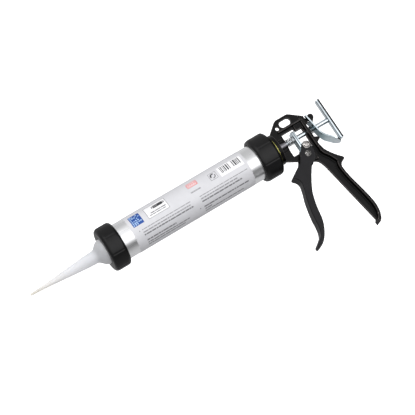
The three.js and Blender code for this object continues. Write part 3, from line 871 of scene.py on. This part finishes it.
def rivet(name, centre, head, material, body, node):
    """A cross pin with a head at each end, both dimpled by the tool."""
    tail = CHEEK + 1.7
    side = [
        (0, SHANK_R), (tail, SHANK_R), (tail, head), (tail + 0.35, head), (tail + 0.95, head * 0.8),
        (tail + 1.15, head * 0.58), (tail + 0.62, head * 0.5), (tail + 0.56, head * 0.24),
    ]
    dimple = tail + 0.8
    bm = bmesh.new()
    profile = [(-y, r) for y, r in reversed(side[1:])] + side
    loops = [ring_of(bm, cross_circle(centre, y, r)) for y, r in profile]
    for a, b in zip(loops, loops[1:]):
        bridge(bm, a, b)
    for loop, y in ((loops[0], -dimple), (loops[-1], dimple)):
        pole = bm.verts.new(place(centre[0], y, centre[1]))
        for a, b in zip(loop, loop[1:] + loop[:1]):
            bm.faces.new((a, b, pole))
    new_piece(name, bm, material, body, [node], angle=40)


def cross_washer(name, centre, side, outer, material, body, node):
    """A cupped washer under a rivet's head, with a raised ring on its outer face."""
    lo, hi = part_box(node)
    face, back = (hi.y / MM, lo.y / MM) if side > 0 else (lo.y / MM, hi.y / MM)
    raised = face - side * 0.28
    profile = [
        (back, WASHER_BORE_R), (back, outer), (raised, outer), (face, outer - 0.45), (face, outer - 1.0),
        (raised, outer - 1.35), (raised, 3.6), (face - side * 0.1, WASHER_BORE_R),
    ]
    new_piece(name, turned_across(profile, centre), material, body, [node], angle=30)


# ---------------------------------------------------------------- rod, T handle, plates
ROD_R = 3.47
TENON_R = 2.45


def rod():
    """Bright rod with a chamfered front end and a tenon riveted over behind the T handle's web."""
    x0, x1 = drawn_span("piston_rod")
    shoulder = drawn_span("t_handle")[0] - 0.35
    profile = [
        (x0, 0.01, 0), (x0, 2.6, 0.1), (x0 + 0.9, ROD_R, 0.3), (shoulder, ROD_R, 0.15),
        (shoulder, TENON_R, 0.1), (x1 - 1.3, TENON_R, 0.1), (x1 - 1.3, 3.4, 0.2), (x1 - 0.5, 3.1, 0.4),
        (x1 - 0.1, 2.0, 0.4), (x1 - 0.3, 0.9, 0.2), (x1 - 0.35, 0.01, 0),
    ]
    bm = turned(round_profile(profile, 0.3, 3), 64)
    new_piece("push_rod", bm, ZINC, "rod", ["piston_rod"], angle=40)


def t_handle():
    """Channel pressed from sheet: a rounded web towards the barrel and two flanges to the rear."""
    x0, x1 = drawn_span("t_handle")
    lo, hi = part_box("t_handle")
    half_w = hi.y / MM
    half_l = drawn_z(hi.z) - 0.01
    sheet = 1.8
    bend = 2.3
    inner = 0.9
    quarter = [math.pi / 2 * k / 7 for k in range(8)]

    lip = [(0, -1.75), (-0.25, -1.5), (-2.9, -0.1), (-3.1, 0)]
    outer_half = [(x1 + dx, half_w + dy) for dx, dy in lip]
    outer_half += [(x0 + bend - bend * math.sin(a), half_w - bend + bend * math.cos(a)) for a in quarter]
    inner_x = x0 + sheet + inner
    inner_y = half_w - sheet - inner
    inner_half = [(x1, half_w - sheet)]
    inner_half += [(inner_x - inner * math.sin(a), inner_y + inner * math.cos(a)) for a in quarter]
    outer = outer_half + [(x, -y) for x, y in reversed(outer_half)]
    inside = inner_half + [(x, -y) for x, y in reversed(inner_half)]
    section = outer + list(reversed(inside))

    # height from the middle, and how far the end is tucked in there
    rows = [(-half_l, 1.0), (-half_l + 0.35, 0.55), (-half_l + 1.0, 0.22), (-half_l + 2.2, 0.0)]
    rows += [(-z, cut) for z, cut in reversed(rows)]
    bm = bmesh.new()
    levels = []
    for z, cut in rows:
        points = []
        for x, y in section:
            tuck = cut * 1.6 if x < x0 + sheet + 0.2 else cut * 0.25 * (x < x1 - 0.5)
            points.append(place(min(x + tuck, x1), y * (1 - 0.05 * cut), z))
        levels.append(ring_of(bm, points))
    loft(bm, levels)
    new_piece("t_grip", bm, ZINC, "rod", ["t_handle"], angle=18)


def cut_bore(obj, x0, x1, radius):
    """Drills a round hole along the barrel axis through a plate."""
    bm = bmesh.new()
    loft(bm, [ring_of(bm, axis_circle(x, radius, 48)) for x in (x0, x1)])
    bmesh.ops.recalc_face_normals(bm, faces=bm.faces)
    subtract(obj, bm)


def pressed_plate(name, stations, thick, material, body, node, bore, fork=None):
    """Sheet that follows (x, z, half width) stations in the mid-plane, with broken edges."""
    bm = bmesh.new()
    loops = []
    last = len(stations) - 1
    for i, (x, z, half) in enumerate(stations):
        ahead = Vector(stations[min(i + 1, last)][:2]) - Vector(stations[max(i - 1, 0)][:2])
        ahead.normalize()
        normal = Vector((-ahead.y, ahead.x)) * thick / 2
        soft = min(0.35, half * 0.4)
        edges = (-half, -half + soft, half - soft, half)
        points = []
        for side, across in ((1, edges), (-1, edges[::-1])):
            for y in across:
                lift = normal * side * (0.65 if abs(y) == half else 1)
                points.append(place(x + lift.x, y, z + lift.y))
        loops.append(ring_of(bm, points))
    loft(bm, loops)
    obj = new_piece(name, bm, material, body, [node], angle=30)
    cut_bore(obj, *bore)
    if fork:
        cut_slot(obj, *fork)
    obj.data.shade_smooth()
    obj.data.set_sharp_from_angle(angle=math.radians(30))


def cut_slot(obj, corner, opposite):
    """Cuts an axis-aligned notch between two points of the drawing."""
    bm = bmesh.new()
    bmesh.ops.create_cube(bm, size=1)
    lo = place(*corner)
    hi = place(*opposite)
    for v in bm.verts:
        v.co = Vector([(lo[k] + hi[k]) / 2 + v.co[k] * (hi[k] - lo[k]) for k in range(3)])
    subtract(obj, bm)


def brake():
    """Brake plate: a steep forked plate that bends smoothly into a round thumb tail."""
    top = Vector((203.6, 20.5))
    bend = Vector((208.9, -15.5))
    tip = Vector((228.0, -35.5))
    half = 9.4
    tail_half = 11.4
    blend_length = 9.0
    start = bend + (top - bend).normalized() * blend_length
    end = bend + (tip - bend).normalized() * blend_length
    path = [top.lerp(start, k / 6) for k in range(7)]
    for k in range(1, 13):
        t = k / 12
        path.append(start.lerp(bend, t).lerp(bend.lerp(end, t), t))
    run = (tip - end).length
    stations = []
    for k, p in enumerate(path):
        widen = max(0, (k - 9) / (len(path) - 10))
        stations.append((p.x, p.y, half + (tail_half - half) * widen * widen * (3 - 2 * widen)))
    straight = run - tail_half
    stations += [(*end.lerp(tip, straight * k / 3 / run), tail_half) for k in range(1, 4)]
    for k in range(1, 15):
        a = math.pi / 2 * k / 14
        along = straight + tail_half * math.sin(a)
        width = max(tail_half * math.cos(a), 0.35)
        stations.append((*end.lerp(tip, min(along / run, 0.998)), width))
    rod_hole = (190, 222, 4.1)
    fork = ((190, -4.2, 10.8), (222, 4.2, 30))
    pressed_plate("brake_lever", stations, 2.5, BRAKE, "brake", "brake_plate", rod_hole, fork)


def grip_plates():
    """Two hardened plates that tip and grip the rod."""
    for node, name in (("grip_plate_rear", "rear_grip_plate"), ("grip_plate_front", "front_grip_plate")):
        lo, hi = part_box(node)
        x = drawn_centre(node)[0]
        top = drawn_z(hi.z)
        bottom = drawn_z(lo.z)
        half = hi.y / MM
        stations = [(x, bottom + d, half - s) for d, s in ((0, 1.6), (0.25, 0.9), (0.8, 0.35), (1.6, 0.0))]
        stations += [(x, top - d, half - s) for d, s in ((1.6, 0), (0.8, 0.25), (0.2, 0.7), (0, 1.1))]
        rod_hole = (x - 5, x + 5, 3.8)
        pressed_plate(name, stations, (hi.x - lo.x) / MM, GRIP, "grip_plates", node, rod_hole)


# ---------------------------------------------------------------- piston
NUT_R = 6.5
NUT_BORE_R = 3.6


def piston():
    """Cupped disc, its two backing washers and the nut that holds them on the rod."""
    x0, x1 = drawn_span("piston_disc")
    profile = [
        (x0, 3.8, 0.2), (x0, 21.9, 0.3), (x0 + 1, 24.35, 0.4), (x1, 24.1, 0.3), (x1, 21.8, 0.4),
        (x0 + 4, 20.8, 0.8), (x0 + 4, 9.5, 0.8), (x1, 9.5, 0.4), (x1, 3.8, 0.2),
    ]
    bm = turned(round_profile(profile, 0.3, 4), 128)
    new_piece("piston_cup", bm, PISTON, "piston", ["piston_disc"])
    for word in ("front", "rear"):
        node = f"piston_washer_{word}"
        a, b = drawn_span(node)
        bm = turned(round_profile([(a, NUT_BORE_R), (a, 9), (b, 9), (b, NUT_BORE_R)], 0.25, 3), 64)
        new_piece(f"{word}_piston_washer", bm, SPRING, "rod", [node])
    hex_nut()


def hex_nut():
    """Hexagon nut whose corners are chamfered at both faces."""
    a, b = drawn_span("piston_nut")
    sixth = math.pi / 3
    bm = bmesh.new()
    loops = []
    for x, shrink in ((a, 0.93), (a + 0.6, 1.0), (b - 0.6, 1.0), (b, 0.93)):
        points = []
        for k in range(48):
            t = 2 * math.pi * k / 48
            sector = (t + sixth / 2) % sixth - sixth / 2
            flat = NUT_R * math.cos(sixth / 2) / math.cos(sector)
            r = min(flat, NUT_R * shrink)
            points.append(place(x, r * math.cos(t + sixth / 2), r * math.sin(t + sixth / 2)))
        loops.append(ring_of(bm, points))
    loops += [ring_of(bm, axis_circle(x, NUT_BORE_R, 48, sixth / 2)) for x in (b, a)]
    bridge_all(bm, loops)
    new_piece("hex_nut", bm, SPRING, "rod", ["piston_nut"], angle=25)


# ---------------------------------------------------------------- springs
def springs():
    """Both coil springs, each built along its CAD spring's full length from its fixed front end."""
    for name, node, joint, keep, radius, wire, turns, material in (
        ("plate_return_spring", "return_spring", "grip_slide", 0.33, 5.2, 1.15, 4.6, SPRING),
        # the brake spring's near-black steel is partly painted shade
        ("brake_lever_spring", "brake_spring", "brake_tilt", 0.84, 5.0, 1.05, 3.2, DARK_SPRING_AND_SHADE),
    ):
        x0, x1 = drawn_span(node)
        spring = wire_coil(name, node, x0, x1, radius, wire, turns, material)
        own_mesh(spring)


# ---------------------------------------------------------------- stage, lights, camera
SURROUND = (  # degrees round the barrel's direction from straight ahead of the near side, and level
    (-180, 0.62), (-120, 0.64), (-96, 0.56), (-82, 0.40), (-62, 0.20), (-50, 0.23), (-42, 0.80), (-34, 1.45),
    (-8, 2.2), (4, 1.9), (15, 1.2), (27, 0.90), (48, 0.70), (86, 0.62), (128, 0.78), (180, 0.62),
)
COOL = 1.012  # the surround's blue over its red and green


def studio_world():
    """Soft studio surround: white above and behind the camera, one dark gap low in front, pale below."""
    world = bpy.data.worlds.new("studio")
    bpy.context.scene.world = world
    world.use_nodes = True
    t = Tree(world.node_tree)
    background = world.node_tree.nodes["Background"]
    direction = t.add("ShaderNodeTexCoord").outputs["Generated"]
    towards_near_side = t.arithmetic("MULTIPLY", t.axis(direction, "Y"), -1)
    angle = t.arithmetic("ARCTAN2", t.axis(direction, "Z"), towards_near_side)
    around = t.spread(angle, -math.pi, math.pi, 0, 1)
    stops = [((degrees + 180) / 360, (level, level, level * COOL)) for degrees, level in SURROUND]
    t.link(t.ramp(around, stops), background.inputs["Color"])
    # the room is darker beyond both ends, which draws the dark bands on the bright metal
    x = t.axis(direction, "X")
    behind = t.spread(x, 0.55, 0.85, 1.0, 0.06, "SMOOTHSTEP")
    ahead = t.spread(x, -0.85, -0.45, 0.45, 1.0, "SMOOTHSTEP")
    t.link(t.arithmetic("MULTIPLY", behind, ahead), background.inputs["Strength"])


FLOOR_Z = -0.75
FLOOR_PROFILE = (  # radius and height in metres: flat, then swept up all round
    (0.05, 0), (2.5, 0), (3.6, 0.02), (4.4, 0.25), (4.9, 0.8), (5.0, 1.6), (5.0, 3.4),
)


def stage():
    """Pale studio floor that sweeps up into a wall all round."""
    bm = bmesh.new()
    loops = []
    for radius, height in FLOOR_PROFILE:
        angles = [2 * math.pi * k / 96 for k in range(96)]
        points = [Vector((radius * math.cos(a), radius * math.sin(a), FLOOR_Z + height)) for a in angles]
        loops.append(ring_of(bm, points))
    for a, b in zip(loops, loops[1:]):
        bridge(bm, a, b)
    bm.faces.new(loops[0])
    bmesh.ops.recalc_face_normals(bm, faces=bm.faces)
    for face in bm.faces:
        to_middle = Vector((0, 0, 1)) - face.calc_center_median()
        if face.normal.dot(to_middle) < 0:
            face.normal_flip()
    floor = mesh_object("studio_floor", bm)
    floor.data.shade_smooth()
    n = Nodes("pale_floor")
    n.set(Base_Color=(0.86, 0.86, 0.86), Roughness=0.9, Emission_Color=(1, 1, 1), Emission_Strength=0.72)
    floor.data.materials.append(n.material)
    # the floor shows and takes shadows; the soft surround lights the gun and fills its reflections
    floor.visible_glossy = False
    floor.visible_diffuse = False


def lights():
    """A soft key light high in front and a weaker fill behind the handle."""
    for name, spot, size, power in (
        ("key", (-0.9, -1.6, 1.5), 1.1, 14),
        ("fill", (1.4, -1.3, -0.1), 0.9, 5),
    ):
        data = bpy.data.lights.new(name, "AREA")
        data.shape = "DISK"
        data.size = size
        data.energy = power
        lamp = bpy.data.objects.new(name, data)
        bpy.context.scene.collection.objects.link(lamp)
        lamp.location = spot
        aim = place(20, 0, -20) - Vector(spot)
        lamp.rotation_euler = aim.to_track_quat("-Z", "Y").to_euler()


CAMERA_AZIMUTH = math.radians(-13.3)
CAMERA_ELEVATION = math.radians(-11.0)
CAMERA_ROLL = math.radians(33.2)
CAMERA_DISTANCE = 2.0
CAMERA_LENS = 127.95


def camera():
    """Looks from a little below and in front, rolled so that the nozzle points down to the left."""
    back = Vector((
        math.sin(CAMERA_AZIMUTH) * math.cos(CAMERA_ELEVATION),
        -math.cos(CAMERA_AZIMUTH) * math.cos(CAMERA_ELEVATION),
        math.sin(CAMERA_ELEVATION),
    ))
    level = Vector((math.cos(CAMERA_AZIMUTH), math.sin(CAMERA_AZIMUTH), 0))
    upright = back.cross(level)
    right = level * math.cos(CAMERA_ROLL) - upright * math.sin(CAMERA_ROLL)
    up = level * math.sin(CAMERA_ROLL) + upright * math.cos(CAMERA_ROLL)
    data = bpy.data.cameras.new("camera")
    data.sensor_width = 36
    data.lens = CAMERA_LENS
    obj = bpy.data.objects.new("camera", data)
    bpy.context.scene.collection.objects.link(obj)
    rotation = Matrix((right, up, back)).transposed().to_4x4()
    middle = place(17.33, 0, -19.95)
    obj.matrix_world = Matrix.Translation(middle + back * CAMERA_DISTANCE) @ rotation
    bpy.context.scene.camera = obj


# ---------------------------------------------------------------- build
barrel()
label_print()
front_ring()
rear_ring()
neck_washer()
nozzle()
softened("frame_casting", "frame", CAST_FRAME, "frame", smoothing=5)
softened("trigger_casting", "trigger", CAST_TRIGGER, "trigger", smoothing=12)
guide_boss()
rivet("pivot_rivet", PIVOT, PIVOT_HEAD_R, PIVOT_STEEL, "frame", "pivot_pin")
rivet("drive_rivet", DRIVE, DRIVE_HEAD_R, RIVET, "trigger", "drive_pin")
for side, word in ((-1, "left"), (1, "right")):
    cross_washer(
        f"pivot_ring_{word}", PIVOT, side, PIVOT_WASHER_R, PIVOT_STEEL, "frame", f"pivot_washer_{word}")
    cross_washer(
        f"drive_ring_{word}", DRIVE, side, DRIVE_WASHER_R, RIVET, "trigger", f"drive_washer_{word}")
rod()
t_handle()
brake()
grip_plates()
piston()
springs()
stage()
lights()
studio_world()
camera()
bpy.context.scene.view_settings.view_transform = "Standard"
